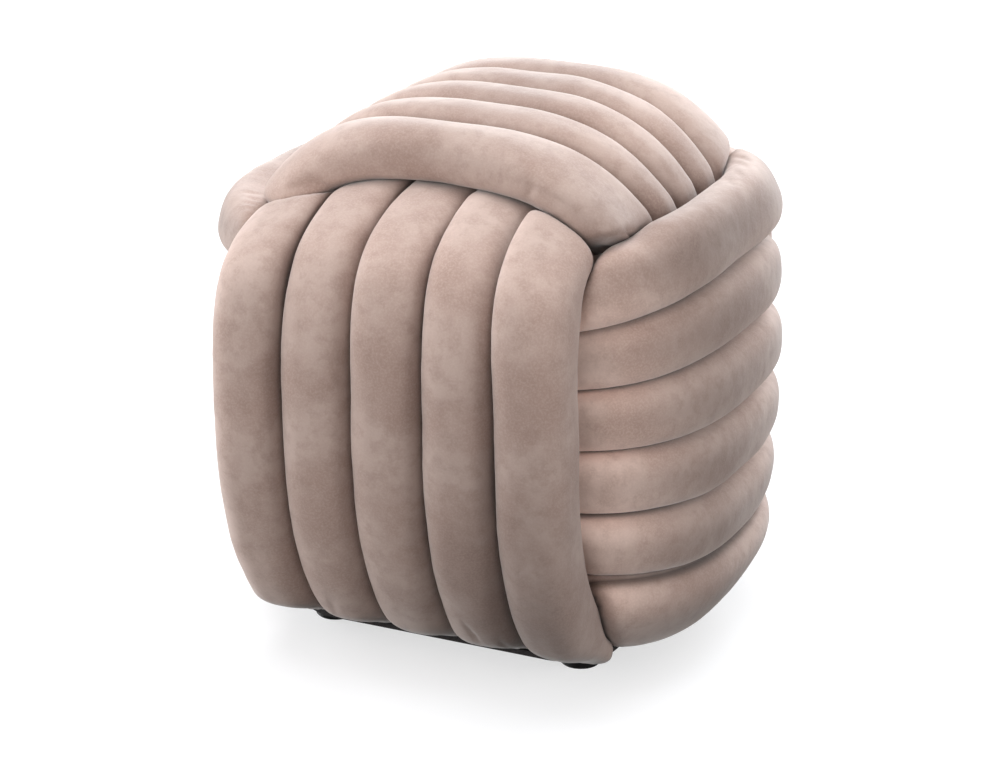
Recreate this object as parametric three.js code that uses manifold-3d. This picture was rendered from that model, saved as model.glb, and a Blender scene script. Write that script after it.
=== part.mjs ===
// A cube-shaped velvet pouf woven from thick stuffed rolls, on four low round feet.
// Five rolls cross the top from left to right, five stand upright on the front and on the back,
// and six lie level on each side. Each face's rolls end behind the rolls of the next face.
// Millimetres. X points to the right side, -Y is the front, Z is up, and the floor is at zero.
import * as THREE from "three";
import { mergeVertices } from "three/addons/utils/BufferGeometryUtils.js";
import Module from "manifold-3d";

const wasm = await Module();
wasm.setup();

// Clearance left between a roll and whatever it lies against.
const CLEARANCE = 0.3;

// Mesh density of a roll: points round its section and steps along its length.
const POINTS_AROUND = 14;
const STEPS_ALONG = { upright: 14, top: 14, side: 18 };

// Every roll has a squarish rounded section. Two is an ellipse, more is squarer.
const SECTION_ROUNDNESS = 2.6;

// Upright rolls on the front and back.
const UPRIGHT = {
  pitch: 60.9,
  crown: 28.3,
  back: 21,
  // The outer rolls reach farther back into the corner, by this much.
  outerBack: 11,
  // The centre line stands farthest out at this height and curves in above and below it.
  widestHeight: 240,
  widestDepth: 209,
  lowerReach: 244,
  lowerRoundness: 2.5,
  lowestAngle: -58,
  highestAngle: 77,
  // Towards its tucked ends a roll thins from full, at one height, to a share of its crown at another.
  lowTaper: { full: 62, thin: 26, share: 0.44 },
  // The upper taper is measured down from the top of the line.
  highTaper: { full: -54, thin: -5, share: 0.5 },
  // The rolls narrow towards the top by this share, and sway to the left, at the reference height.
  narrowing: 0.056,
  sway: -2.2,
  narrowingFrom: 210,
  narrowingHeight: 180,
  // The tops of the back rolls are lower than those of the front ones.
  backLower: 8,
};

// The upper ends of the front rolls, from the left. upperReach: how far the line rises above its
// widest height, upperRoundness: how sharply it bends over, lean: degrees that it leans to the right.
const UPRIGHT_ROLLS = [
  { upperReach: 134.5, upperRoundness: 4.1, lean: -17 },
  { upperReach: 151.5, upperRoundness: 3.1, lean: -7 },
  { upperReach: 147, upperRoundness: 3.9, lean: 2 },
  { upperReach: 153.5, upperRoundness: 3.1, lean: 11 },
  { upperReach: 145, upperRoundness: 3.9, lean: 23 },
];

// Rolls over the top.
const TOP = {
  count: 5,
  pitch: 52.7,
  crown: 23.5,
  back: 21,
  centreHeight: 419.8,
  halfLength: 162,
  // At the reference distance from the middle the line has dropped and the rolls have narrowed this much.
  reference: 180,
  drop: 117.5,
  dropPower: 3.24,
  narrowing: 0.3,
  // The outer rolls sit a little lower than the middle one.
  outerDrop: 4.7,
  outerDropAt: 120,
  // The crown thins from full, at one distance from the middle, to a share of it at another.
  endTaper: { full: 138, thin: 168, share: 0.5 },
};

// The outer top rolls spread over the shoulders of the upright ones. At this distance from the
// middle their outer side is wider by reach, and its edge is lifted from middleLift, at the middle,
// to the lift of that end. The leading end is the right one of the front roll and the left one of
// the back roll.
const SHOULDER = {
  at: 140,
  reach: 39,
  reachPower: 1.5,
  middleLift: -4,
  leadingLift: 15,
  trailingLift: -14,
  liftPower: 3,
  farthest: 148,
};

// Level rolls on the sides, from the uppermost down. The left rolls arch less than the right ones.
// middle, low and high: height of the centre at mid side, at the end by front roll 5 or back roll 5
// and at the end by front roll 1 or back roll 1, reach: how far out the centre stands, depth: how
// far the ends go, tilt: degrees that the crown leans up, twist: how much more at the high end,
// behind: thickness behind the centre.
const SIDE_ROLLS = {
  right: [
    { middle: 353, low: 335, high: 339.5, reach: 185.5, depth: 173.5, tilt: 14, twist: 36, behind: 17 },
    { middle: 295.1, low: 275.7, high: 280, reach: 192.5, depth: 161, tilt: 5, twist: 0, behind: 20 },
    { middle: 235.8, low: 227.4, high: 227.4, reach: 195.2, depth: 160, tilt: 1, twist: 0, behind: 23 },
    { middle: 176.6, low: 179, high: 179, reach: 193.5, depth: 161, tilt: -3, twist: 0, behind: 23 },
    { middle: 117.4, low: 129, high: 129, reach: 190, depth: 162, tilt: -9, twist: 0, behind: 23 },
    { middle: 54, low: 69, high: 69, reach: 181, depth: 158, tilt: -32, twist: 0, behind: 23 },
  ],
  left: [
    { middle: 334, low: 334, high: 340, reach: 200, depth: 167, tilt: 12, twist: 0, behind: 17 },
    { middle: 280, low: 282, high: 282, reach: 200, depth: 161, tilt: 5, twist: 0, behind: 20 },
    { middle: 226, low: 231, high: 231, reach: 199, depth: 160, tilt: 1, twist: 0, behind: 23 },
    { middle: 172, low: 180, high: 180, reach: 196, depth: 161, tilt: -3, twist: 0, behind: 23 },
    { middle: 118, low: 129, high: 129, reach: 190, depth: 162, tilt: -9, twist: 0, behind: 23 },
    { middle: 54, low: 69, high: 69, reach: 181, depth: 158, tilt: -32, twist: 0, behind: 23 },
  ],
};
const SIDE = { crown: 25.3, roundness: 2.9, farthestAngle: 69 };

// Half the height of a side roll, at mid side and at its ends. The lowest ones are fuller.
const HALF_HEIGHTS = {
  right: { middle: 30, low: 24.1, high: 24.1 },
  left: { middle: 27.5, low: 24.1, high: 24.1 },
  upperRight: { middle: 30, low: 38, high: 33.5 },
  lowest: { middle: 40, low: 36, high: 36 },
};

// The upper edge of the uppermost right roll drops between these distances towards the front.
const UPPER_RIGHT_DROP = { by: 9, from: 88, full: 124 };

// Flat board under the rolls, and the feet below it.
const BASE = { width: 280, depth: 264, thickness: 4.5, underside: 12.3, cornerRadius: 44 };
const FOOT = { x: 112, y: 98, topRadius: 19, floorRadius: 17, height: 12, edge: 1.5 };

const velvet = new THREE.MeshStandardMaterial({ color: 0xb49c92, roughness: 0.85, metalness: 0 });
const baseCloth = new THREE.MeshStandardMaterial({ color: 0x2b2626, roughness: 0.95, metalness: 0 });
const footPlastic = new THREE.MeshStandardMaterial({ color: 0x151515, roughness: 0.5, metalness: 0 });

const Z_AXIS = new THREE.Vector3(0, 0, 1);

function signedPower(value, power) {
  return Math.sign(value) * Math.abs(value) ** power;
}

// The centre line of an upright roll, seen from the side, as a curve at x = 0.
class UprightLine extends THREE.Curve {
  constructor(upperReach, upperRoundness) {
    super();
    this.upperReach = upperReach;
    this.upperRoundness = upperRoundness;
  }
  getPoint(t, target = new THREE.Vector3()) {
    const degrees = UPRIGHT.lowestAngle + t * (UPRIGHT.highestAngle - UPRIGHT.lowestAngle);
    const angle = THREE.MathUtils.degToRad(degrees);
    const upper = angle > 0;
    const roundness = upper ? this.upperRoundness : UPRIGHT.lowerRoundness;
    const reach = upper ? this.upperReach : UPRIGHT.lowerReach;
    const depth = UPRIGHT.widestDepth * Math.cos(angle) ** (2 / roundness);
    const height = UPRIGHT.widestHeight + reach * signedPower(Math.sin(angle), 2 / roundness);
    return target.set(0, -depth, height);
  }
}

// The centre line of the top rolls, seen from the front, as a curve at y = 0.
class TopLine extends THREE.Curve {
  getPoint(t, target = new THREE.Vector3()) {
    const x = (2 * t - 1) * TOP.halfLength;
    const fall = TOP.drop * Math.abs(x / TOP.reference) ** TOP.dropPower;
    return target.set(x, 0, TOP.centreHeight - fall);
  }
}

// The centre line of a side roll, seen from above, at height zero.
class SideLine extends THREE.Curve {
  constructor(reach, depth) {
    super();
    this.reach = reach;
    this.depth = depth;
  }
  getPoint(t, target = new THREE.Vector3()) {
    const angle = THREE.MathUtils.degToRad((2 * t - 1) * SIDE.farthestAngle);
    const x = this.reach * Math.cos(angle) ** (2 / SIDE.roundness);
    const y = this.depth * signedPower(Math.sin(angle), 2 / SIDE.roundness);
    return target.set(x, y, 0);
  }
}

// Bends a closed cylinder along a roll. sectionAt gives, for a share of the length, the centre,
// the outward direction, the direction across the roll, and the sizes of the section there. A
// section may be wider on one side by spread, with that edge lifted.
function rollGeometry(steps, sectionAt, grow) {
  const geometry = new THREE.CylinderGeometry(1, 1, 1, POINTS_AROUND, steps);
  const position = geometry.getAttribute("position");
  const sections = new Map();
  for (let i = 0; i < position.count; i++) {
    const share = position.getY(i) + 0.5;
    if (!sections.has(share)) sections.set(share, { widerSide: 0, ...sectionAt(share) });
    const { centre, across, outward, halfWidth, crown, back, widerSide, spread, lift } = sections.get(share);
    const wide = signedPower(position.getX(i), 2 / SECTION_ROUNDNESS);
    const thick = signedPower(position.getZ(i), 2 / SECTION_ROUNDNESS);
    const point = centre.clone().addScaledVector(outward, thick * ((thick > 0 ? crown : back) + grow));
    const wider = wide * widerSide > 0;
    point.addScaledVector(across, wide * (halfWidth + grow + (wider ? spread : 0)));
    if (wider) point.z += lift * wide ** 2;
    position.setXYZ(i, point.x, point.y, point.z);
  }
  return geometry;
}

// Directions of a section: across and outward, both square to the line.
function frame(tangent, roughOutward) {
  const across = new THREE.Vector3().crossVectors(tangent, roughOutward).normalize();
  const outward = new THREE.Vector3().crossVectors(across, tangent).normalize();
  return { across, outward };
}

// The geometry turned half round the pouf's middle.
function turned(geometry) {
  return geometry.clone().rotateZ(Math.PI);
}

// Zero up to one value and one from another, with a smooth rise between. The first may be the larger.
function rising(value, from, full) {
  const share = THREE.MathUtils.clamp((value - from) / (full - from), 0, 1);
  return share * share * (3 - 2 * share);
}

// The share of its full thickness that a roll has at a height.
function tapered(height, { full, thin, share }) {
  return THREE.MathUtils.lerp(share, 1, rising(height, thin, full));
}

// Front roll number column, counted from the left, from one. Its top may be lower than usual.
function uprightRoll(column, lower, grow = 0) {
  const roll = UPRIGHT_ROLLS[column - 1];
  const fromMiddle = column - (UPRIGHT_ROLLS.length + 1) / 2;
  const outerness = (2 * Math.abs(fromMiddle)) / (UPRIGHT_ROLLS.length - 1);
  const upperReach = roll.upperReach - lower;
  const line = new UprightLine(upperReach, roll.upperRoundness);
  return rollGeometry(STEPS_ALONG.upright, (share) => {
    const centre = line.getPointAt(share);
    const { across, outward } = frame(line.getTangentAt(share), new THREE.Vector3(0, -1, 0));
    const risen = Math.max(0, (centre.z - UPRIGHT.widestHeight) / upperReach);
    const lean = THREE.MathUtils.degToRad(roll.lean * risen ** 2);
    across.addScaledVector(outward, -Math.tan(lean));
    const above = Math.max(0, (centre.z - UPRIGHT.narrowingFrom) / UPRIGHT.narrowingHeight);
    const pitch = UPRIGHT.pitch * (1 - UPRIGHT.narrowing * above ** 2);
    centre.x = fromMiddle * pitch + UPRIGHT.sway * above ** 2;
    const halfWidth = pitch / 2 - CLEARANCE;
    const belowTop = centre.z - UPRIGHT.widestHeight - upperReach;
    const fullness = tapered(centre.z, UPRIGHT.lowTaper) * tapered(belowTop, UPRIGHT.highTaper);
    const crown = UPRIGHT.crown * fullness;
    const back = (UPRIGHT.back + UPRIGHT.outerBack * outerness ** 2) * fullness;
    return { centre, across, outward, halfWidth, crown, back };
  }, grow);
}

// Top roll number row, counted from the front, from one.
function topRoll(row, grow = 0) {
  const line = new TopLine();
  const fromMiddle = row - (TOP.count + 1) / 2;
  const outermost = Math.abs(fromMiddle) === (TOP.count - 1) / 2;
  const widerSide = outermost ? -Math.sign(fromMiddle) : 0;
  return rollGeometry(STEPS_ALONG.top, (share) => {
    const centre = line.getPointAt(share);
    const { across, outward } = frame(line.getTangentAt(share), Z_AXIS);
    const pitch = TOP.pitch * (1 - TOP.narrowing * (centre.x / TOP.reference) ** 2);
    centre.y = fromMiddle * pitch;
    centre.z -= TOP.outerDrop * (centre.y / TOP.outerDropAt) ** 2;
    const fromCentre = Math.abs(centre.x);
    const crown = TOP.crown * tapered(fromCentre, TOP.endTaper);
    const beyond = Math.min(fromCentre, SHOULDER.farthest) / SHOULDER.at;
    const spread = SHOULDER.reach * beyond ** SHOULDER.reachPower;
    const endLift = centre.x * widerSide > 0 ? SHOULDER.leadingLift : SHOULDER.trailingLift;
    const lift = THREE.MathUtils.lerp(SHOULDER.middleLift, endLift, beyond ** SHOULDER.liftPower);
    const halfWidth = pitch / 2 - CLEARANCE;
    return { centre, across, outward, halfWidth, crown, back: TOP.back, widerSide, spread, lift };
  }, grow);
}

function halfHeightsOf(side, row) {
  if (row === SIDE_ROLLS[side].length) return HALF_HEIGHTS.lowest;
  return side === "right" && row === 1 ? HALF_HEIGHTS.upperRight : HALF_HEIGHTS[side];
}

// Side roll number row, counted from the top, from one. A left roll is shaped at the right side
// and then turned half round the pouf's middle.
function sideRoll(side, row, grow = 0) {
  const roll = SIDE_ROLLS[side][row - 1];
  const halves = halfHeightsOf(side, row);
  const line = new SideLine(roll.reach, roll.depth);
  const dropping = side === "right" && row === 1;
  const geometry = rollGeometry(STEPS_ALONG.side, (share) => {
    const centre = line.getPointAt(share);
    const tangent = line.getTangentAt(share);
    const highEnd = centre.y > 0;
    const towardsEnd = (centre.y / roll.depth) ** 2;
    const tilt = THREE.MathUtils.degToRad(roll.tilt + (highEnd ? roll.twist * towardsEnd : 0));
    const level = new THREE.Vector3(tangent.y, -tangent.x, 0);
    const lean = level.multiplyScalar(Math.cos(tilt)).addScaledVector(Z_AXIS, Math.sin(tilt));
    const { across, outward } = frame(tangent, lean);
    centre.z = THREE.MathUtils.lerp(roll.middle, highEnd ? roll.high : roll.low, towardsEnd);
    const half = THREE.MathUtils.lerp(halves.middle, highEnd ? halves.high : halves.low, towardsEnd);
    const halfWidth = half - CLEARANCE;
    const section = { centre, across, outward, halfWidth, crown: SIDE.crown, back: roll.behind };
    const drop = -UPPER_RIGHT_DROP.by * rising(-centre.y, UPPER_RIGHT_DROP.from, UPPER_RIGHT_DROP.full);
    return dropping ? { ...section, widerSide: -1, spread: 0, lift: drop } : section;
  }, grow);
  return side === "left" ? turned(geometry) : geometry;
}

// A three.js geometry as a closed solid that can be cut, and back.
function toSolid(geometry) {
  const bare = geometry.clone();
  bare.deleteAttribute("normal");
  bare.deleteAttribute("uv");
  const merged = mergeVertices(bare, 1e-4);
  const mesh = new wasm.Mesh({
    numProp: 3,
    vertProperties: new Float32Array(merged.getAttribute("position").array),
    triVerts: new Uint32Array(merged.index.array),
  });
  return new wasm.Manifold(mesh);
}

function toGeometry(solid) {
  const mesh = solid.getMesh();
  const geometry = new THREE.BufferGeometry();
  geometry.setAttribute("position", new THREE.BufferAttribute(mesh.vertProperties, 3));
  geometry.setIndex(new THREE.BufferAttribute(mesh.triVerts, 1));
  geometry.computeVertexNormals();
  return geometry;
}

// The largest of the bodies that a cut leaves.
function largestBody(solid) {
  return solid.decompose().reduce((best, body) => (body.volume() > best.volume() ? body : best));
}

function cut(geometry, cutters) {
  const left = cutters.reduce((solid, cutter) => solid.subtract(cutter), toSolid(geometry));
  return toGeometry(largestBody(left));
}

function numbers(count) {
  return Array.from({ length: count }, (_, index) => index + 1);
}

function boardGeometry(grow = 0) {
  const { width, depth, thickness, cornerRadius } = BASE;
  const [x, y] = [width / 2 + grow, depth / 2 + grow];
  const r = cornerRadius + grow;
  const outline = new THREE.Shape();
  outline.absarc(x - r, y - r, r, 0, Math.PI / 2);
  outline.absarc(r - x, y - r, r, Math.PI / 2, Math.PI);
  outline.absarc(r - x, r - y, r, Math.PI, 1.5 * Math.PI);
  outline.absarc(x - r, r - y, r, 1.5 * Math.PI, 2 * Math.PI);
  const options = { depth: thickness + 2 * grow, bevelEnabled: false, curveSegments: 6 };
  return new THREE.ExtrudeGeometry(outline, options).translate(0, 0, BASE.underside - grow);
}

function footGeometry() {
  const { topRadius, floorRadius, height, edge } = FOOT;
  const outline = [
    [0, 0],
    [floorRadius - edge, 0],
    [floorRadius, edge],
    [topRadius, height - edge],
    [topRadius - edge, height],
    [0, height],
  ].map(([radius, z]) => new THREE.Vector2(radius, z));
  return new THREE.LatheGeometry(outline, 32).rotateX(Math.PI / 2);
}

const pouf = new THREE.Group();

function add(name, geometry, material) {
  const mesh = new THREE.Mesh(geometry, material);
  mesh.name = name;
  pouf.add(mesh);
  return mesh;
}

// What each family of rolls gives way to: the uprights to the top rolls that lie over them,
// the side rolls to the uprights, and the top rolls to the side rolls.
const boardSolid = toSolid(boardGeometry(CLEARANCE));
const topSolids = numbers(TOP.count).map((row) => toSolid(topRoll(row, CLEARANCE)));
const columns = numbers(UPRIGHT_ROLLS.length);
const uprightSolids = columns.flatMap((column) => [
  toSolid(uprightRoll(column, 0, CLEARANCE)),
  toSolid(turned(uprightRoll(column, UPRIGHT.backLower, CLEARANCE))),
]);
const sides = Object.keys(SIDE_ROLLS);
const sideRows = numbers(SIDE_ROLLS.right.length);
const sideSolids = sides.map((side) => sideRows.map((row) => toSolid(sideRoll(side, row, CLEARANCE))));

for (const row of numbers(TOP.count)) {
  add(`top_roll_${row}`, cut(topRoll(row), sideSolids.flat()), velvet);
}
for (const column of columns) {
  add(`front_roll_${column}`, cut(uprightRoll(column, 0), [...topSolids, boardSolid]), velvet);
  const back = cut(turned(uprightRoll(column, UPRIGHT.backLower)), [...topSolids, boardSolid]);
  add(`back_roll_${column}`, back, velvet);
}
sides.forEach((side, index) => {
  for (const row of sideRows) {
    const above = sideSolids[index].slice(0, row - 1);
    const geometry = cut(sideRoll(side, row), [...uprightSolids, ...above, boardSolid]);
    add(`${side}_roll_${row}`, geometry, velvet);
  }
});

add("base_board", boardGeometry(), baseCloth);
const corners = { front_left: [-1, -1], front_right: [1, -1], back_left: [-1, 1], back_right: [1, 1] };
for (const [corner, [x, y]] of Object.entries(corners)) {
  add(`foot_${corner}`, footGeometry(), footPlastic).position.set(x * FOOT.x, y * FOOT.y, 0);
}

export default pouf;
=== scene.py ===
"""A cube-shaped velvet pouf woven from thick stuffed rolls, on four low round feet.

Metres. X points to the right side, -Y is the front, Z is up, and the floor is at zero.
Each roll is swept along its own line, made a little uneven, puckered where it is tucked under
others, and pressed in where they cover it.
"""
import math

import bpy
import numpy as np
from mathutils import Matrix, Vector
from mathutils.bvhtree import BVHTree


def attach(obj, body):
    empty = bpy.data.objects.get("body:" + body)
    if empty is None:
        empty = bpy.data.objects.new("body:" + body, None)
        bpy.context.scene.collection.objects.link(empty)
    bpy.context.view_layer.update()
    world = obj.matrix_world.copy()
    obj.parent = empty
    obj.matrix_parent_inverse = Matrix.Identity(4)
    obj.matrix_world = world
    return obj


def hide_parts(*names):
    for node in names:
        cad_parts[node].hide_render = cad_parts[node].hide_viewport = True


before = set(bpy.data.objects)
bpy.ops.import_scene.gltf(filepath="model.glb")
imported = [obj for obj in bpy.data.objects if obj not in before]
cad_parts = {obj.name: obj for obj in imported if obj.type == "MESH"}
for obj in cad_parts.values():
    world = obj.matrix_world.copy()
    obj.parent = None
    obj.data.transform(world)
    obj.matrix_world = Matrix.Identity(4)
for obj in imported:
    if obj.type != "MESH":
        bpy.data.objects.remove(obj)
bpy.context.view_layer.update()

MM = 0.001

# Mesh density of a roll: the spacing along it, and the points round its outer and inner half. A
# line is first drawn with FINE_POINTS.
STEP = 3.0 * MM
OUTER_POINTS = 64
INNER_POINTS = 24
FINE_POINTS = 600

# The section is a squarish oval. Two is an ellipse, more is squarer.
SECTION_ROUNDNESS = 2.6

# Room left where a roll lies beside another, and where it is pressed against a cover.
CLEARANCE = 0.3 * MM
PRESSED_GAP = 0.6 * MM

# Covers are looked for this far from a roll's centre line, and measured to this far from its skin.
COVER_SEARCH = 90 * MM
COVER_MEASURE = 60 * MM
# A point is pressed no closer than this to the place from which it is pressed, and that place is
# moved off the centre line where a cover is nearer than CENTRE_ROOM.
LEAST_LENGTH = 0.5 * MM
CENTRE_ROOM = 3 * MM
# What being off centre counts against such a place.
OFF_CENTRE_COST = 2 * MM

# How far from a cover a dent's edge is rounded, and in how many rounds of smoothing.
DENT = {"reach": 14 * MM, "rounds": 24}

# Unevenness of the stuffing, as lengths and sizes of waves.
UNEVEN = [(150 * MM, 0.3 * MM), (40 * MM, 0.08 * MM)]
WAVE_COUNT = 14
# How far past its plain half width the unevenness may take a roll.
SIDEWAYS_ROOM = 0.1 * MM
# Small pleats that run out along a roll from its covers, between two shares of its outer girth.
PLEATS = {"count": 9, "length": 22 * MM, "depth": 1.2 * MM, "low": 0.1, "high": 0.95}
# The skin sinks towards a cover's edge, by this depth and from this far.
TUCK = {"depth": 1.2 * MM, "reach": 6 * MM}

# The upright rolls of the front and back. Their line stands furthest out at its widest height and
# curves in above and below it, between two angles. Crown and back are the thickness outside and
# inside the line, and the outer rolls are thicker inside. High up the rolls narrow and sway a little.
UPRIGHT = {
    "pitch": 60.9 * MM,
    "crown": 28.3 * MM,
    "back": 21 * MM,
    "outer_back": 11 * MM,
    "widest_height": 240 * MM,
    "widest_depth": 209 * MM,
    "lower_reach": 244 * MM,
    "lower_roundness": 2.5,
    "lowest_angle": -58,
    "highest_angle": 77,
    "narrowing": 0.056,
    "sway": -2.2 * MM,
    "back_lower": 8 * MM,
    "narrowing_from": 210 * MM,
    "narrowing_height": 180 * MM,
}
# Both ends thin from a full height to a thin one, to a share of the thickness. The low heights are
# from the floor, and the high ones from the line's top.
LOW_TAPER = {"full": 62 * MM, "thin": 26 * MM, "share": 0.44}
HIGH_TAPER = {"full": -54 * MM, "thin": -5 * MM, "share": 0.5}

# The upper ends of the upright rolls, from the left: how far the line rises above its widest
# height, how sharply it bends over, and the degrees that it leans to the right.
UPRIGHT_ROLLS = [
    {"reach": 134.5 * MM, "roundness": 4.1, "lean": -17},
    {"reach": 151.5 * MM, "roundness": 3.1, "lean": -7},
    {"reach": 147 * MM, "roundness": 3.9, "lean": 2},
    {"reach": 153.5 * MM, "roundness": 3.1, "lean": 11},
    {"reach": 145 * MM, "roundness": 3.9, "lean": 23},
]

# The top rolls. Their line falls towards both ends, by drop at the reference distance from the
# middle, where they are also narrower. The outer rolls lie lower.
TOP = {
    "count": 5,
    "pitch": 52.7 * MM,
    "crown": 23.5 * MM,
    "back": 21 * MM,
    "centre_height": 419.8 * MM,
    "half_length": 162 * MM,
    "reference": 180 * MM,
    "drop": 117.5 * MM,
    "drop_power": 3.24,
    "narrowing": 0.3,
    "outer_drop": 4.7 * MM,
    "outer_drop_at": 120 * MM,
}

# The outer top rolls spread over the shoulders of the upright ones. At this distance from the
# middle their outer side is wider by reach, and its edge is lifted from middle_lift, at the middle,
# to the lift of that end. The leading end is the right one of the front roll and the left one of
# the back roll.
SHOULDER = {
    "at": 140 * MM,
    "reach": 39 * MM,
    "reach_power": 1.5,
    "middle_lift": -4 * MM,
    "leading_lift": 15 * MM,
    "trailing_lift": -14 * MM,
    "lift_power": 3,
    "farthest": 148 * MM,
}
# The top rolls thin where they dive behind the side rolls.
TOP_TAPER = {"full": 138 * MM, "thin": 168 * MM, "share": 0.5}

# Side rolls from the uppermost down, in millimetres: height of the centre at mid side, at the low
# end by front roll 5 or back roll 5, and at the high end by front roll 1 or back roll 1, how far
# out the centre stands, how far the ends go, degrees that the crown tilts up, and how much more at
# the high end, and thickness behind.
SIDE_COLUMNS = ("middle", "low", "high", "reach", "depth", "tilt", "twist", "behind")
SIDE_ROLLS = {
    "right": [
        (353, 335, 339.5, 185.5, 173.5, 14, 36, 17),
        (295.1, 275.7, 280, 192.5, 161, 5, 0, 20),
        (235.8, 227.4, 227.4, 195.2, 160, 1, 0, 23),
        (176.6, 179, 179, 193.5, 161, -3, 0, 23),
        (117.4, 129, 129, 190, 162, -9, 0, 23),
        (54, 69, 69, 181, 158, -32, 0, 23),
    ],
    "left": [
        (334, 334, 340, 200, 167, 12, 0, 17),
        (280, 282, 282, 200, 161, 5, 0, 20),
        (226, 231, 231, 199, 160, 1, 0, 23),
        (172, 180, 180, 196, 161, -3, 0, 23),
        (118, 129, 129, 190, 162, -9, 0, 23),
        (54, 69, 69, 181, 158, -32, 0, 23),
    ],
}
# The side rolls' thickness outside, and the bend of their line round the corners.
SIDE = {"crown": 25.3 * MM, "roundness": 2.9, "farthest_angle": 69}
# Half the height of a side roll at mid side and at its low and high ends, in millimetres.
HALF_HEIGHTS = {
    "right": {"middle": 30, "low": 24.1, "high": 24.1},
    "left": {"middle": 27.5, "low": 24.1, "high": 24.1},
    "upper_right": {"middle": 30, "low": 38, "high": 33.5},
    "lowest": {"middle": 40, "low": 36, "high": 36},
}
# The upper edge of the uppermost right roll drops between these distances towards the front.
UPPER_RIGHT_DROP = {"by": 9 * MM, "from": 88 * MM, "full": 124 * MM}

# Soft patches painted lighter or darker. Some are where the pile lies another way. Others are painted
# light and shade: the front darker low down and lighter high up, the right rolls lighter where they turn
# to the front, and the top rolls darker at their right ends by the side rolls. For each: the rolls'
# family, then in millimetres the middle and the size along each axis, and the change. The back and left
# rolls have the patches of the front and right ones, turned half round.
PILE_AND_LIGHT_PATCHES = [
    ("upright", (110, -210, 60), (62, 200, 110), -0.38),
    ("upright", (-120, -210, 30), (60, 200, 60), 0.2),
    ("upright", (20, -200, 370), (130, 200, 60), 0.12),
    ("side", (160, -160, 180), (60, 28, 200), 0.6),
    ("side", (190, -55, 200), (80, 50, 200), -0.2),
    ("side", (180, 0, 70), (60, 200, 50), -0.14),
    ("side", (170, -50, 370), (80, 100, 30), -0.15),
    ("top", (-130, 0, 400), (60, 300, 100), 0.15),
    ("top", (0, 40, 430), (45, 90, 100), -0.12),
    ("top", (105, 30, 400), (30, 120, 100), 0.14),
    ("top", (150, -140, 370), (40, 40, 40), -0.15),
    ("top", (160, 10, 370), (20, 110, 40), -0.3),
    ("upright", (-150, -170, 250), (14, 60, 200), 0.2),
]

# Folds and puckers that show singly: for each roll the place along it and round it and the length
# in millimetres, the degrees that the fold turns away from the roll's own line, and its width and
# depth in millimetres. A depth below zero is a small ridge.
FOLD_COLUMNS = ("along", "round", "length", "turn", "width", "depth")
FOLDS = {
    "top_tube_1": [
        (91, -3, 9, -58, 2.4, 2.4),
        (80, 1, 10, -29, 2.2, 1.8),
        (158, -8, 5, -15, 2.5, 1.4),
        (281, -2, 7, 90, 2.4, 1.8),
        (312, -2, 4, -5, 2, -0.9),
        (308, 3, 5, -5, 2, 0.7),
    ],
    "left_tube_1": [
        (324, 83, 6, 88, 2.2, 1.4),
        (341, 81, 6, 37, 2.2, 1.4),
        (353, 75.5, 6, 29, 2, 1.2),
        (361, 72, 5, 46, 2.2, 1.2),
    ],
    "right_tube_1": [
        (311, 81.5, 12, 12, 2.2, 0.9),
        (285, 83, 16, 17.5, 2.4, 0.8),
        (254, 83, 16, 26.6, 2.4, 0.7),
        (230, 85, 10, 36.6, 2.4, 0.7),
    ],
    "front_tube_2": [(61, 51.5, 8, -7, 2, 1.2)],
    "front_tube_4": [(61, 49.5, 8, 15, 1.8, 2.2), (46, 28, 6, 0, 1.8, 1.4)],
    "front_tube_5": [(66, 84, 7, 20, 2, 1.2)],
}

# Painted sheen and shade across a roll's width. These are how much lighter, or below zero darker, the
# velvet is painted in the middle of the width, at the edge on the plus side of the across direction, and
# at the edge on the minus side. The lighter edges stand in for velvet's sheen at grazing angles, and they
# stay the same from any view.
PAINTED_EDGE_SHEEN = {"side": (-0.17, 0.6, 0.2), "upright": (0, 0, 0.12)}

# Painted shade in the creases: the velvet's colour is mixed towards dark brown by this share, fading over
# the first distance, or over the second on a crease's bright side.
CREASE_SHADE = {"share": 0.85, "fade": 1.6 * MM, "bright_fade": 0.6 * MM, "colour": (0.055, 0.03, 0.02, 1)}
# Front, back and top rolls are also shaded further out along one edge, plus or minus across.
SHADED = {"share": 0.42, "fade": 5 * MM, "side": {"upright": 1, "top": 1}}

Z_AXIS = np.array([0.0, 0.0, 1.0])


def signed_power(value, power):
    return np.sign(value) * np.abs(value) ** power


def unit(vectors):
    return vectors / np.linalg.norm(vectors, axis=-1, keepdims=True)


def smooth_step(value):
    value = np.clip(value, 0, 1)
    return value * value * (3 - 2 * value)


def tapered(height, taper):
    """The share of its full thickness that a roll has at a height."""
    fullness = (height - taper["thin"]) / (taper["full"] - taper["thin"])
    return taper["share"] + (1 - taper["share"]) * smooth_step(fullness)


def evenly_spaced(points):
    """The line through the points, cut into steps of about STEP, with its tangents."""
    lengths = np.linalg.norm(np.diff(points, axis=0), axis=1)
    places = np.concatenate([[0], np.cumsum(lengths)])
    count = int(round(places[-1] / STEP)) + 1
    wanted = np.linspace(0, places[-1], count)
    line = np.stack([np.interp(wanted, places, points[:, k]) for k in range(3)], axis=1)
    return line, unit(np.gradient(line, axis=0)), wanted


def roll_frame(tangent, rough_outward):
    across = unit(np.cross(tangent, rough_outward))
    return across, unit(np.cross(across, tangent))


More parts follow.
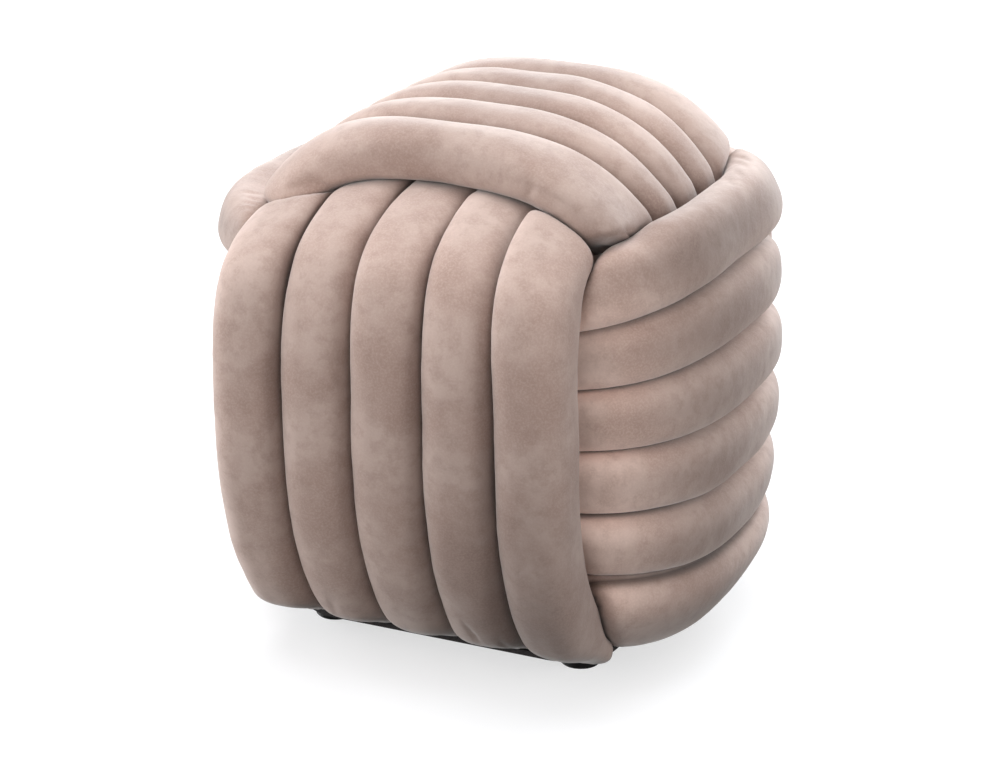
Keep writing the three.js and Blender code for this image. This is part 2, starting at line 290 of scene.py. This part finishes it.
class Roll:
    """A stuffed tube: its centre line, and the directions and sizes of its section along it."""

    def __init__(self, name, node, family, along, centre, across, outward, half, crown, back):
        self.name = name
        self.node = node
        self.family = family
        self.along = along
        self.centre = centre
        self.across = across
        self.outward = outward
        self.half = half
        self.crown = crown
        self.back = back
        # The side, plus or minus across, on which the roll is wider or its edge is lifted, and both
        # amounts.
        self.spread_side = 0
        self.spread = np.zeros(len(centre))
        self.lift = np.zeros(len(centre))
        # What turns a place on the front, right or top to this roll's own.
        self.turn = np.ones(3)
        # The sides, plus or minus across, on which another roll of the family lies.
        self.beside = ()

    def turned(self, name, node):
        """The same roll turned half round the pouf's middle."""
        turn = np.array([-1.0, -1.0, 1.0])
        roll = Roll(
            name,
            node,
            self.family,
            self.along,
            self.centre * turn,
            self.across * turn,
            self.outward * turn,
            self.half,
            self.crown,
            self.back,
        )
        roll.turn = turn
        roll.beside = self.beside
        return roll


def sides_with_neighbours(number, count, next_side):
    """next_side is the side on which the roll with the next number lies."""
    return tuple(
        side for side, other in ((next_side, number + 1), (-next_side, number - 1)) if 1 <= other <= count
    )


def upright_roll(column, lower=0.0):
    """Front roll number column, counted from the left, with its top lower by that distance."""
    shape = UPRIGHT_ROLLS[column - 1]
    from_middle = column - (len(UPRIGHT_ROLLS) + 1) / 2
    outerness = 2 * abs(from_middle) / (len(UPRIGHT_ROLLS) - 1)
    upper_reach = shape["reach"] - lower
    degrees = np.linspace(UPRIGHT["lowest_angle"], UPRIGHT["highest_angle"], FINE_POINTS)
    angle = np.radians(degrees)
    upper = angle > 0
    roundness = np.where(upper, shape["roundness"], UPRIGHT["lower_roundness"])
    reach = np.where(upper, upper_reach, UPRIGHT["lower_reach"])
    depth = UPRIGHT["widest_depth"] * np.cos(angle) ** (2 / roundness)
    height = UPRIGHT["widest_height"] + reach * signed_power(np.sin(angle), 2 / roundness)
    line = np.stack([np.zeros_like(depth), -depth, height], axis=1)
    centre, tangent, along = evenly_spaced(line)
    across, outward = roll_frame(tangent, np.array([0.0, -1.0, 0.0]))
    height = centre[:, 2]
    risen = np.maximum(0, (height - UPRIGHT["widest_height"]) / upper_reach)
    lean = np.radians(shape["lean"] * risen**2)[:, None]
    leaning_across = across - outward * np.tan(lean)
    above = np.maximum(0, (height - UPRIGHT["narrowing_from"]) / UPRIGHT["narrowing_height"])
    pitch = UPRIGHT["pitch"] * (1 - UPRIGHT["narrowing"] * above**2)
    centre[:, 0] = from_middle * pitch + UPRIGHT["sway"] * above**2
    below_top = height - UPRIGHT["widest_height"] - upper_reach
    fullness = tapered(height, LOW_TAPER) * tapered(below_top, HIGH_TAPER)
    crown = UPRIGHT["crown"] * fullness
    back = (UPRIGHT["back"] + UPRIGHT["outer_back"] * outerness**2) * fullness
    half = pitch / 2 - CLEARANCE
    name = f"front_tube_{column}"
    node = f"front_roll_{column}"
    roll = Roll(name, node, "upright", along, centre, leaning_across, outward, half, crown, back)
    roll.beside = sides_with_neighbours(column, len(UPRIGHT_ROLLS), 1)
    return roll


def top_roll(row):
    """Top roll number row, counted from the front."""
    from_middle = row - (TOP["count"] + 1) / 2
    x = np.linspace(-TOP["half_length"], TOP["half_length"], FINE_POINTS)
    fall = TOP["drop"] * np.abs(x / TOP["reference"]) ** TOP["drop_power"]
    line = np.stack([x, np.zeros_like(x), TOP["centre_height"] - fall], axis=1)
    centre, tangent, along = evenly_spaced(line)
    across, outward = roll_frame(tangent, Z_AXIS)
    pitch = TOP["pitch"] * (1 - TOP["narrowing"] * (centre[:, 0] / TOP["reference"]) ** 2)
    centre[:, 1] = from_middle * pitch
    centre[:, 2] -= TOP["outer_drop"] * (centre[:, 1] / TOP["outer_drop_at"]) ** 2
    fullness = tapered(np.abs(centre[:, 0]), TOP_TAPER)
    crown = TOP["crown"] * fullness
    back = TOP["back"] * np.ones(len(centre))
    half = pitch / 2 - CLEARANCE
    name = f"top_tube_{row}"
    node = f"top_roll_{row}"
    roll = Roll(name, node, "top", along, centre, across, outward, half, crown, back)
    roll.beside = sides_with_neighbours(row, TOP["count"], -1)
    if abs(from_middle) == (TOP["count"] - 1) / 2:
        roll.spread_side = -np.sign(from_middle)
        beyond = np.minimum(np.abs(centre[:, 0]), SHOULDER["farthest"]) / SHOULDER["at"]
        leading = centre[:, 0] * roll.spread_side > 0
        end_lift = np.where(leading, SHOULDER["leading_lift"], SHOULDER["trailing_lift"])
        middle_lift = SHOULDER["middle_lift"]
        roll.spread = SHOULDER["reach"] * beyond ** SHOULDER["reach_power"]
        roll.lift = middle_lift + (end_lift - middle_lift) * beyond ** SHOULDER["lift_power"]
    return roll


def side_roll(side, row):
    """Roll number row on one side, counted from the uppermost down."""
    shape = dict(zip(SIDE_COLUMNS, SIDE_ROLLS[side][row - 1]))
    if row == len(SIDE_ROLLS[side]):
        halves = HALF_HEIGHTS["lowest"]
    elif side == "right" and row == 1:
        halves = HALF_HEIGHTS["upper_right"]
    else:
        halves = HALF_HEIGHTS[side]
    farthest = math.radians(SIDE["farthest_angle"])
    angle = np.linspace(-farthest, farthest, FINE_POINTS)
    x = shape["reach"] * MM * np.cos(angle) ** (2 / SIDE["roundness"])
    y = shape["depth"] * MM * signed_power(np.sin(angle), 2 / SIDE["roundness"])
    centre, tangent, along = evenly_spaced(np.stack([x, y, np.zeros_like(x)], axis=1))
    towards_high = centre[:, 1] > 0
    towards_end = (centre[:, 1] / (shape["depth"] * MM)) ** 2
    level = np.stack([tangent[:, 1], -tangent[:, 0], np.zeros(len(centre))], axis=1)
    tilt = np.radians(shape["tilt"] + shape["twist"] * towards_end * towards_high)[:, None]
    across, outward = roll_frame(tangent, level * np.cos(tilt) + Z_AXIS * np.sin(tilt))
    end = np.where(towards_high, shape["high"], shape["low"])
    centre[:, 2] = (shape["middle"] + (end - shape["middle"]) * towards_end) * MM
    half_end = np.where(towards_high, halves["high"], halves["low"])
    half = (halves["middle"] + (half_end - halves["middle"]) * towards_end) * MM - CLEARANCE
    even = np.ones(len(centre))
    crown, back = SIDE["crown"] * even, shape["behind"] * MM * even
    name = f"{side}_tube_{row}"
    node = f"{side}_roll_{row}"
    roll = Roll(name, node, "side", along, centre, across, outward, half, crown, back)
    roll.beside = sides_with_neighbours(row, len(SIDE_ROLLS[side]), 1)
    if side == "right" and row == 1:
        dropped = UPPER_RIGHT_DROP
        reached = (-centre[:, 1] - dropped["from"]) / (dropped["full"] - dropped["from"])
        roll.spread_side = -1
        roll.lift = -dropped["by"] * smooth_step(reached)
    return roll.turned(name, node) if side == "left" else roll


# Angles round the section, from the across direction over the crown and back behind.
OUTER_ANGLES = np.linspace(0, math.pi, OUTER_POINTS, endpoint=False)
INNER_ANGLES = np.linspace(math.pi, 2 * math.pi, INNER_POINTS, endpoint=False)
SECTION_ANGLES = np.concatenate([OUTER_ANGLES, INNER_ANGLES])
# The same points as shares of the half width, and of the thickness on either side.
SECTION_WIDE = signed_power(np.cos(SECTION_ANGLES), 2 / SECTION_ROUNDNESS)
SECTION_THICK = signed_power(np.sin(SECTION_ANGLES), 2 / SECTION_ROUNDNESS)


def plain_surface(roll):
    """The points of a roll before it is pressed and puckered: rows along it, columns round it."""
    depth = np.where(SECTION_THICK > 0, roll.crown[:, None], roll.back[:, None])
    spreading = (SECTION_WIDE * roll.spread_side > 0)[None, :]
    half = roll.half[:, None] + roll.spread[:, None] * spreading
    lift = roll.lift[:, None] * spreading * SECTION_WIDE**2
    across = roll.across[:, None, :] * (SECTION_WIDE * half)[..., None]
    outward = roll.outward[:, None, :] * (SECTION_THICK * depth)[..., None]
    return roll.centre[:, None, :] + across + outward + Z_AXIS * lift[..., None]


def grid_faces(rows, columns):
    """The quads of a tube's grid, and its two flat ends."""
    first = np.arange(rows - 1)[:, None] * columns
    here = first + np.arange(columns)
    beside = first + (np.arange(columns) + 1) % columns
    quads = np.stack([here, here + columns, beside + columns, beside], axis=-1).reshape(-1, 4)
    ends = [list(range(columns)), list(range(columns * (rows - 1), columns * rows))[::-1]]
    return quads, ends


def tree_of(surface):
    rows, columns = surface.shape[:2]
    quads, ends = grid_faces(rows, columns)
    points = [tuple(p) for p in surface.reshape(-1, 3)]
    return BVHTree.FromPolygons(points, [tuple(q) for q in quads.tolist()] + ends)


def waves(rng, along, length, size):
    """Gentle unevenness of about that length and size, which closes round the section."""
    total = np.zeros((len(along), len(SECTION_ANGLES)))
    for _ in range(WAVE_COUNT):
        frequency = rng.normal(0, 1) / length
        turns = rng.integers(-4, 5)
        phase = rng.uniform(0, 2 * math.pi)
        total += np.cos(2 * math.pi * along[:, None] * frequency + turns * SECTION_ANGLES[None, :] + phase)
    return total * size / math.sqrt(WAVE_COUNT / 2)


def pleats(rng, from_edge, girth):
    """Folds that start at a cover and run out along the roll, as depth below the surface."""
    outer_girth = girth[OUTER_POINTS]
    total = np.zeros_like(from_edge)
    for _ in range(PLEATS["count"]):
        place = rng.uniform(PLEATS["low"] * outer_girth, PLEATS["high"] * outer_girth)
        reach = PLEATS["length"] * rng.uniform(0.4, 1.4)
        width = rng.uniform(1.3, 2.6) * MM
        slant = rng.uniform(-0.25, 0.25)
        strength = PLEATS["depth"] * rng.uniform(0.4, 1.0)
        aside = girth[None, :] - place + slant * from_edge
        fade = np.clip(1 - from_edge / reach, 0, 1) ** 1.5
        total += strength * np.exp(-((aside / width) ** 2) / 2) * fade
    return total


fronts = [upright_roll(column) for column in range(1, 6)]
backs = [
    upright_roll(column, UPRIGHT["back_lower"]).turned(f"back_tube_{column}", f"back_roll_{column}")
    for column in range(1, 6)
]
tops = [top_roll(row) for row in range(1, 6)]
rights = [side_roll("right", row) for row in range(1, 7)]
lefts = [side_roll("left", row) for row in range(1, 7)]
rolls = fronts + backs + tops + rights + lefts

trees = {roll.name: tree_of(plain_surface(roll)) for roll in rolls}
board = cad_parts["base_board"].data
board_tree = BVHTree.FromPolygons(
    [tuple(v.co) for v in board.vertices], [tuple(p.vertices) for p in board.polygons]
)


def covers_of(roll):
    """What a roll is tucked under or rests on, as search trees."""
    if roll.family == "upright":
        return [trees[r.name] for r in tops] + [board_tree]
    if roll.family == "top":
        return [trees[r.name] for r in rights + lefts]
    side = rights if roll in rights else lefts
    above = side[: side.index(roll)]
    return [trees[r.name] for r in fronts + backs + above] + [board_tree]


# Places in a section, as shares of its half width and thickness, from which it may be pressed.
ANCHORS = sorted(
    [(a, b) for a in (-0.75, -0.4, 0, 0.4, 0.75) for b in (-0.7, -0.35, 0, 0.35, 0.7)],
    key=lambda place: math.hypot(*place),
)


def clearance(point, trees_near):
    """How far a point is outside all the covers, or less than nothing inside one."""
    least = 1.0
    for tree in trees_near:
        place, normal, _, away = tree.find_nearest(point)
        outside = (point - place).dot(normal) > 0
        least = min(least, away if outside else -away)
    return least


def clear_anchor(roll, row, trees_near):
    """A point in the section that is outside the covers, as near the centre as may be."""
    centre = Vector(roll.centre[row])
    if clearance(centre, trees_near) > CENTRE_ROOM:
        return centre
    best, most = centre, -1.0
    for a, b in ANCHORS:
        thick = roll.crown[row] if b > 0 else roll.back[row]
        place = roll.centre[row] + roll.across[row] * a * roll.half[row] + roll.outward[row] * b * thick
        score = clearance(Vector(place), trees_near) - OFF_CENTRE_COST * math.hypot(a, b)
        if score > most:
            best, most = Vector(place), score
    return best


def pressed(roll, surface, covers):
    """Draws points in towards the inside of the roll until they clear every cover, and gives how
    far each point then is from the nearest cover."""
    rows, columns = surface.shape[:2]
    distance = np.full((rows, columns), 1.0)
    for i in range(rows):
        centre = Vector(roll.centre[i])
        near = [tree for tree in covers if tree.find_nearest(centre, COVER_SEARCH)[0] is not None]
        if not near:
            continue
        anchor = clear_anchor(roll, i, near)
        for j in range(columns):
            point = Vector(surface[i, j])
            ray = point - anchor
            length = ray.length
            direction = ray / length
            for tree in near:
                hit, _, _, at = tree.ray_cast(anchor, direction, length + PRESSED_GAP)
                if hit is not None and at - PRESSED_GAP < length:
                    length = max(at - PRESSED_GAP, LEAST_LENGTH)
            point = anchor + direction * length
            surface[i, j] = point
            for tree in near:
                place, _, _, away = tree.find_nearest(point, COVER_MEASURE)
                if place is not None:
                    distance[i, j] = min(distance[i, j], away)
    return distance


def single_folds(roll, girth, around):
    """The folds of the table on one roll, as depth below its surface."""
    total = np.zeros((len(roll.along), len(girth)))
    for fold in FOLDS.get(roll.name, []):
        row = dict(zip(FOLD_COLUMNS, fold))
        beyond = (roll.along - row["along"] * MM)[:, None]
        aside = ((girth - row["round"] * MM + around / 2) % around - around / 2)[None, :]
        turn = math.radians(row["turn"])
        forward = beyond * math.cos(turn) + aside * math.sin(turn)
        off = aside * math.cos(turn) - beyond * math.sin(turn)
        away = (forward / (row["length"] * MM)) ** 2 + (off / (row["width"] * MM)) ** 2
        total += row["depth"] * MM * np.exp(-away / 2)
    return total


def pile_and_painted_light(roll, surface):
    """How light the velvet is painted at each point: pile patches mixed with painted light and shade, and
    painted sheen and shade across the roll's width.
    """
    tone = np.ones(surface.shape[:2])
    place = surface * roll.turn
    for family, middle, size, change in PILE_AND_LIGHT_PATCHES:
        if family == roll.family:
            away = (place - np.array(middle) * MM) / (np.array(size) * MM)
            tone *= 1 + change * np.exp(-np.sum(away**2, axis=-1) / 2)
    # Painted sheen towards the edges and painted shade in the middle of the width.
    if roll.family in PAINTED_EDGE_SHEEN:
        middle, plus, minus = PAINTED_EDGE_SHEEN[roll.family]
        edge = np.where(SECTION_WIDE > 0, plus, minus)
        tone *= 1 + middle * (1 - SECTION_WIDE**2) + edge * SECTION_WIDE**2
    return tone


def painted_crease_shade(roll, distance):
    """How much painted shade each point gets in the creases and along the shaded edge, from none to one.
    """
    depth = CREASE_SHADE["share"] * np.exp(-distance / CREASE_SHADE["fade"])
    for side in roll.beside:
        across = 2 * roll.half[:, None] * (1 - SECTION_WIDE * side)[None, :]
        if side == SHADED["side"].get(roll.family):
            depth = np.maximum(depth, CREASE_SHADE["share"] * np.exp(-across / CREASE_SHADE["fade"]))
            depth = np.maximum(depth, SHADED["share"] * np.exp(-across / SHADED["fade"]))
        else:
            depth = np.maximum(depth, CREASE_SHADE["share"] * np.exp(-across / CREASE_SHADE["bright_fade"]))
    return depth


def softened(surface, distance):
    """Rounds the edges of the dents that the covers press into a roll."""
    share = 0.5 * np.clip(1 - distance / DENT["reach"], 0, 1)[..., None]
    for _ in range(DENT["rounds"]):
        inside = surface[1:-1]
        along = (surface[:-2] + surface[2:]) / 2
        around = (np.roll(inside, 1, axis=1) + np.roll(inside, -1, axis=1)) / 2
        surface[1:-1] += share[1:-1] * ((along + around) / 2 - inside)
    return surface


def build_roll(roll, seed):
    """The finished points of a roll, its shades, and the places round its section in metres."""
    rng = np.random.default_rng(seed)
    surface = plain_surface(roll)
    covers = covers_of(roll)
    distance = pressed(roll, surface.copy(), covers)
    radial = surface - roll.centre[:, None, :]
    size = np.linalg.norm(radial, axis=-1)
    middle = surface[len(surface) // 2]
    steps = np.linalg.norm(np.roll(middle, -1, axis=0) - middle, axis=1)
    girth = np.concatenate([[0], np.cumsum(steps)[:-1]])
    change = sum(waves(rng, roll.along, length, height) for length, height in UNEVEN)
    change -= pleats(rng, distance, girth)
    change -= TUCK["depth"] * np.clip(1 - distance / TUCK["reach"], 0, 1) ** 2
    folds = single_folds(roll, girth, steps.sum())
    surface = roll.centre[:, None, :] + radial * ((size + change) / size)[..., None]
    sideways = unit(roll.across - roll.outward * np.sum(roll.across * roll.outward, axis=1)[:, None])
    wide = np.einsum("ijk,ik->ij", surface - roll.centre[:, None, :], sideways)
    spreading = wide * roll.spread_side > 0
    limit = roll.half[:, None] + SIDEWAYS_ROOM + roll.spread[:, None] * spreading
    over = np.clip(np.abs(wide) - limit, 0, None) * np.sign(wide)
    surface -= sideways[:, None, :] * over[..., None]
    distance = pressed(roll, surface, covers)
    surface = softened(surface, distance)
    surface += unit(roll.centre[:, None, :] - surface) * folds[..., None]
    distance = pressed(roll, surface, covers)
    # tone carries the pile patches with painted light, shade and sheen; crease carries the painted shade
    # in the creases.
    shades = {"tone": pile_and_painted_light(roll, surface), "crease": painted_crease_shade(roll, distance)}
    return surface, shades, girth, steps.sum()


def make_mesh(roll, surface, shades, girth, around):
    """A roll's mesh, with its shades and a map of the places along it and round it."""
    rows, columns = surface.shape[:2]
    quads, ends = grid_faces(rows, columns)
    mesh = bpy.data.meshes.new(roll.name)
    faces = [tuple(q) for q in quads.tolist()] + ends
    mesh.from_pydata([tuple(p) for p in surface.reshape(-1, 3)], [], faces)
    mesh.update()
    layer = mesh.uv_layers.new(name="pile")
    u = np.repeat(roll.along, columns)
    v = np.tile(girth, rows)
    corner_vertex = np.zeros(len(mesh.loops), np.int32)
    mesh.loops.foreach_get("vertex_index", corner_vertex)
    coordinates = np.stack([u[corner_vertex], v[corner_vertex]], axis=1)
    last_column = np.arange(rows - 1) * columns + columns - 1
    for face in last_column:
        coordinates[face * 4 + 2, 1] = around
        coordinates[face * 4 + 3, 1] = around
    layer.data.foreach_set("uv", coordinates.astype(np.float32).ravel())
    for shade, values in shades.items():
        attribute = mesh.attributes.new(shade, "FLOAT", "POINT")
        attribute.data.foreach_set("value", values.astype(np.float32).ravel())
    mesh.polygons.foreach_set("use_smooth", np.ones(len(mesh.polygons), bool))
    piece = bpy.data.objects.new(roll.name, mesh)
    bpy.context.scene.collection.objects.link(piece)
    return piece


# Colours, in linear light.
VELVET = {
    "shaded": (0.368, 0.255, 0.216, 1),
    "light": (0.475, 0.357, 0.312, 1),
    "blotch": (0.325, 0.222, 0.186, 1),
    "grain": (0.54, 0.42, 0.36, 1),
    "sheen": (0.97, 0.97, 0.97, 1),
}
BASE_CLOTH = {"dark": (0.018, 0.015, 0.015, 1), "light": (0.035, 0.03, 0.03, 1)}
FOOT = {"dark": (0.006, 0.006, 0.006, 1), "light": (0.012, 0.012, 0.012, 1)}


def node_material(name):
    material = bpy.data.materials.new(name)
    material.use_nodes = True
    nodes = material.node_tree.nodes
    links = material.node_tree.links
    return material, nodes, links, nodes["Principled BSDF"]


def noise_node(nodes, links, vector, scale, detail, roughness=0.5):
    node = nodes.new("ShaderNodeTexNoise")
    node.inputs["Scale"].default_value = scale
    node.inputs["Detail"].default_value = detail
    node.inputs["Roughness"].default_value = roughness
    links.new(vector, node.inputs["Vector"])
    return node.outputs["Fac"]


def mix_node(nodes, links, factor, first, second, blend="MIX"):
    node = nodes.new("ShaderNodeMix")
    node.data_type = "RGBA"
    node.blend_type = blend
    for socket, value in (("A", first), ("B", second)):
        target = [i for i in node.inputs if i.name == socket and i.type == "RGBA"][0]
        if isinstance(value, tuple):
            target.default_value = value
        else:
            links.new(value, target)
    factor_socket = [i for i in node.inputs if i.name == "Factor" and i.type == "VALUE"][0]
    if isinstance(factor, float):
        factor_socket.default_value = factor
    else:
        links.new(factor, factor_socket)
    return [o for o in node.outputs if o.type == "RGBA"][0]


def ranged(nodes, links, value, from_low, from_high, to_low=0.0, to_high=1.0):
    node = nodes.new("ShaderNodeMapRange")
    node.interpolation_type = "SMOOTHSTEP"
    for socket, number in (
        ("From Min", from_low),
        ("From Max", from_high),
        ("To Min", to_low),
        ("To Max", to_high),
    ):
        node.inputs[socket].default_value = number
    links.new(value, node.inputs["Value"])
    return node.outputs["Result"]


def attribute_node(nodes, name):
    node = nodes.new("ShaderNodeAttribute")
    node.attribute_name = name
    return node.outputs


def bump_node(nodes, links, height, strength, distance):
    node = nodes.new("ShaderNodeBump")
    node.inputs["Strength"].default_value = strength
    node.inputs["Distance"].default_value = distance
    links.new(height, node.inputs["Height"])
    return node


def velvet_material():
    material, nodes, links, shader = node_material("velvet_pile")
    where = nodes.new("ShaderNodeTexCoord").outputs["Object"]
    patches = noise_node(nodes, links, where, 16, 3, 0.55)
    blotches = noise_node(nodes, links, where, 75, 3, 0.6)
    grain = noise_node(nodes, links, where, 620, 2, 0.6)
    patchy = ranged(nodes, links, patches, 0.35, 0.65)
    base = mix_node(nodes, links, patchy, VELVET["shaded"], VELVET["light"])
    blotchy = ranged(nodes, links, blotches, 0.42, 0.7, 0.0, 0.5)
    mottled = mix_node(nodes, links, blotchy, base, VELVET["blotch"])
    grainy = ranged(nodes, links, grain, 0.35, 0.75, 0.0, 0.35)
    grained = mix_node(nodes, links, grainy, mottled, VELVET["grain"])
    # The tone attribute, which holds the pile patches with painted light, shade and sheen, multiplies the
    # colour.
    tone = attribute_node(nodes, "tone")["Color"]
    toned = mix_node(nodes, links, 1.0, grained, tone, "MULTIPLY")
    # Painted shade in the creases mixes the colour towards dark brown.
    crease = attribute_node(nodes, "crease")["Fac"]
    crease_shaded = mix_node(nodes, links, crease, toned, CREASE_SHADE["colour"])
    links.new(crease_shaded, shader.inputs["Base Color"])
    shader.inputs["Roughness"].default_value = 0.85
    shader.inputs["Specular IOR Level"].default_value = 0.15
    shader.inputs["Sheen Weight"].default_value = 0.4
    shader.inputs["Sheen Roughness"].default_value = 0.5
    shader.inputs["Sheen Tint"].default_value = VELVET["sheen"]
    coarse = noise_node(nodes, links, where, 90, 2, 0.5)
    fine = noise_node(nodes, links, where, 900, 2, 0.6)
    soft = bump_node(nodes, links, coarse, 0.25, 2 * MM)
    rough = bump_node(nodes, links, fine, 0.25, 0.4 * MM)
    links.new(soft.outputs["Normal"], rough.inputs["Normal"])
    links.new(rough.outputs["Normal"], shader.inputs["Normal"])
    return material


def base_cloth_material():
    material, nodes, links, shader = node_material("base_cloth")
    where = nodes.new("ShaderNodeTexCoord").outputs["Object"]
    threads = noise_node(nodes, links, where, 800, 3)
    raised = ranged(nodes, links, threads, 0.3, 0.7)
    colour = mix_node(nodes, links, raised, BASE_CLOTH["dark"], BASE_CLOTH["light"])
    links.new(colour, shader.inputs["Base Color"])
    shader.inputs["Roughness"].default_value = 0.95
    bump = bump_node(nodes, links, threads, 0.3, 0.3 * MM)
    links.new(bump.outputs["Normal"], shader.inputs["Normal"])
    return material


def foot_material():
    material, nodes, links, shader = node_material("foot_plastic")
    where = nodes.new("ShaderNodeTexCoord").outputs["Object"]
    mould = noise_node(nodes, links, where, 300, 3)
    colour = mix_node(nodes, links, ranged(nodes, links, mould, 0.3, 0.7), FOOT["dark"], FOOT["light"])
    links.new(colour, shader.inputs["Base Color"])
    links.new(ranged(nodes, links, mould, 0.3, 0.7, 0.42, 0.58), shader.inputs["Roughness"])
    return material


FIRST_SEED = 100
velvet = velvet_material()
for number, roll in enumerate(rolls):
    piece = make_mesh(roll, *build_roll(roll, FIRST_SEED + number))
    piece.data.materials.append(velvet)
    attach(piece, "root")
    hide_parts(roll.node)

carried = {"base_board": base_cloth_material()}
plastic = foot_material()
for corner in ("front_left", "front_right", "back_left", "back_right"):
    carried[f"foot_{corner}"] = plastic
for node_name, material in carried.items():
    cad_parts[node_name].material_slots[0].material = material

# A pale floor, which glows faintly to keep the shadow light, and throws nothing back on the rolls.
bpy.ops.mesh.primitive_plane_add(size=60, location=(0, 0, 0))
floor = bpy.context.object
floor.name = "floor"
floor_material, _, _, floor_shader = node_material("pale_floor")
floor_shader.inputs["Base Color"].default_value = (0.42, 0.42, 0.43, 1)
floor_shader.inputs["Emission Color"].default_value = (1, 1, 1, 1)
floor_shader.inputs["Emission Strength"].default_value = 0.62
floor_shader.inputs["Roughness"].default_value = 0.9
floor.data.materials.append(floor_material)
floor.visible_diffuse = False
floor.visible_glossy = False
floor.visible_shadow = False


# Light from a white room and from soft lamps all round, LAMP_WIDTH degrees wide. Each lamp has
# degrees from the right side towards the back, degrees above the floor, strength and coolness.
ROOM_LIGHT = 0.3
LAMP_WIDTH = 35
LAMPS = [
    (0, 15, 1.25, 0),
    (90, 15, 3.6, 1),
    (180, 15, 1.6, 1),
    (225, 15, 0.85, 0),
    (270, 15, 0.9, 0),
    (315, 15, 0.3, 0),
    (247.5, 45, 0.25, 0),
    (90, 72, 0.9, 1),
    (180, 72, 1.2, 0.5),
    (180, -20, 0.9, 0),
    (22.5, 0, 0.3, 0),
]
# The colour of the coolest lamp. The others lie between it and white.
COOL = (0.96, 1.0, 1.035)


def soft_lamp(number, azimuth, elevation, strength, coolness):
    data = bpy.data.lights.new(f"lamp_{number}", "SUN")
    data.color = tuple(1 + coolness * (channel - 1) for channel in COOL)
    data.angle = math.radians(LAMP_WIDTH)
    data.energy = strength
    lamp = bpy.data.objects.new(data.name, data)
    turn, rise = math.radians(azimuth), math.radians(elevation)
    level = math.cos(rise)
    towards = Vector((level * math.cos(turn), level * math.sin(turn), math.sin(rise)))
    lamp.rotation_euler = (-towards).to_track_quat("-Z", "Y").to_euler()
    bpy.context.scene.collection.objects.link(lamp)


for number, lamp_row in enumerate(LAMPS, 1):
    soft_lamp(number, *lamp_row)

# The room is white above the floor's level and dark below it.
world = bpy.data.worlds.new("studio")
bpy.context.scene.world = world
world.use_nodes = True
nodes, links = world.node_tree.nodes, world.node_tree.links
direction = nodes.new("ShaderNodeSeparateXYZ")
links.new(nodes.new("ShaderNodeTexCoord").outputs["Generated"], direction.inputs["Vector"])
white = ranged(nodes, links, direction.outputs["Z"], -0.02, 0.02)
links.new(white, nodes["Background"].inputs["Color"])
nodes["Background"].inputs["Strength"].default_value = ROOM_LIGHT
bpy.context.scene.view_settings.view_transform = "Standard"

# Camera, with a long lens, in millimetres.
camera_data = bpy.data.cameras.new("camera")
camera_data.sensor_width = 36
camera_data.lens = 112.08
camera_data.clip_end = 100
camera = bpy.data.objects.new("camera", camera_data)
eye = Vector((1.0269, -2.2022, 1.0871))
aim = Vector((0.0001, -0.0135, 0.1951))
camera.location = eye
camera.rotation_euler = (aim - eye).to_track_quat("-Z", "Y").to_euler()
bpy.context.scene.collection.objects.link(camera)
bpy.context.scene.camera = camera
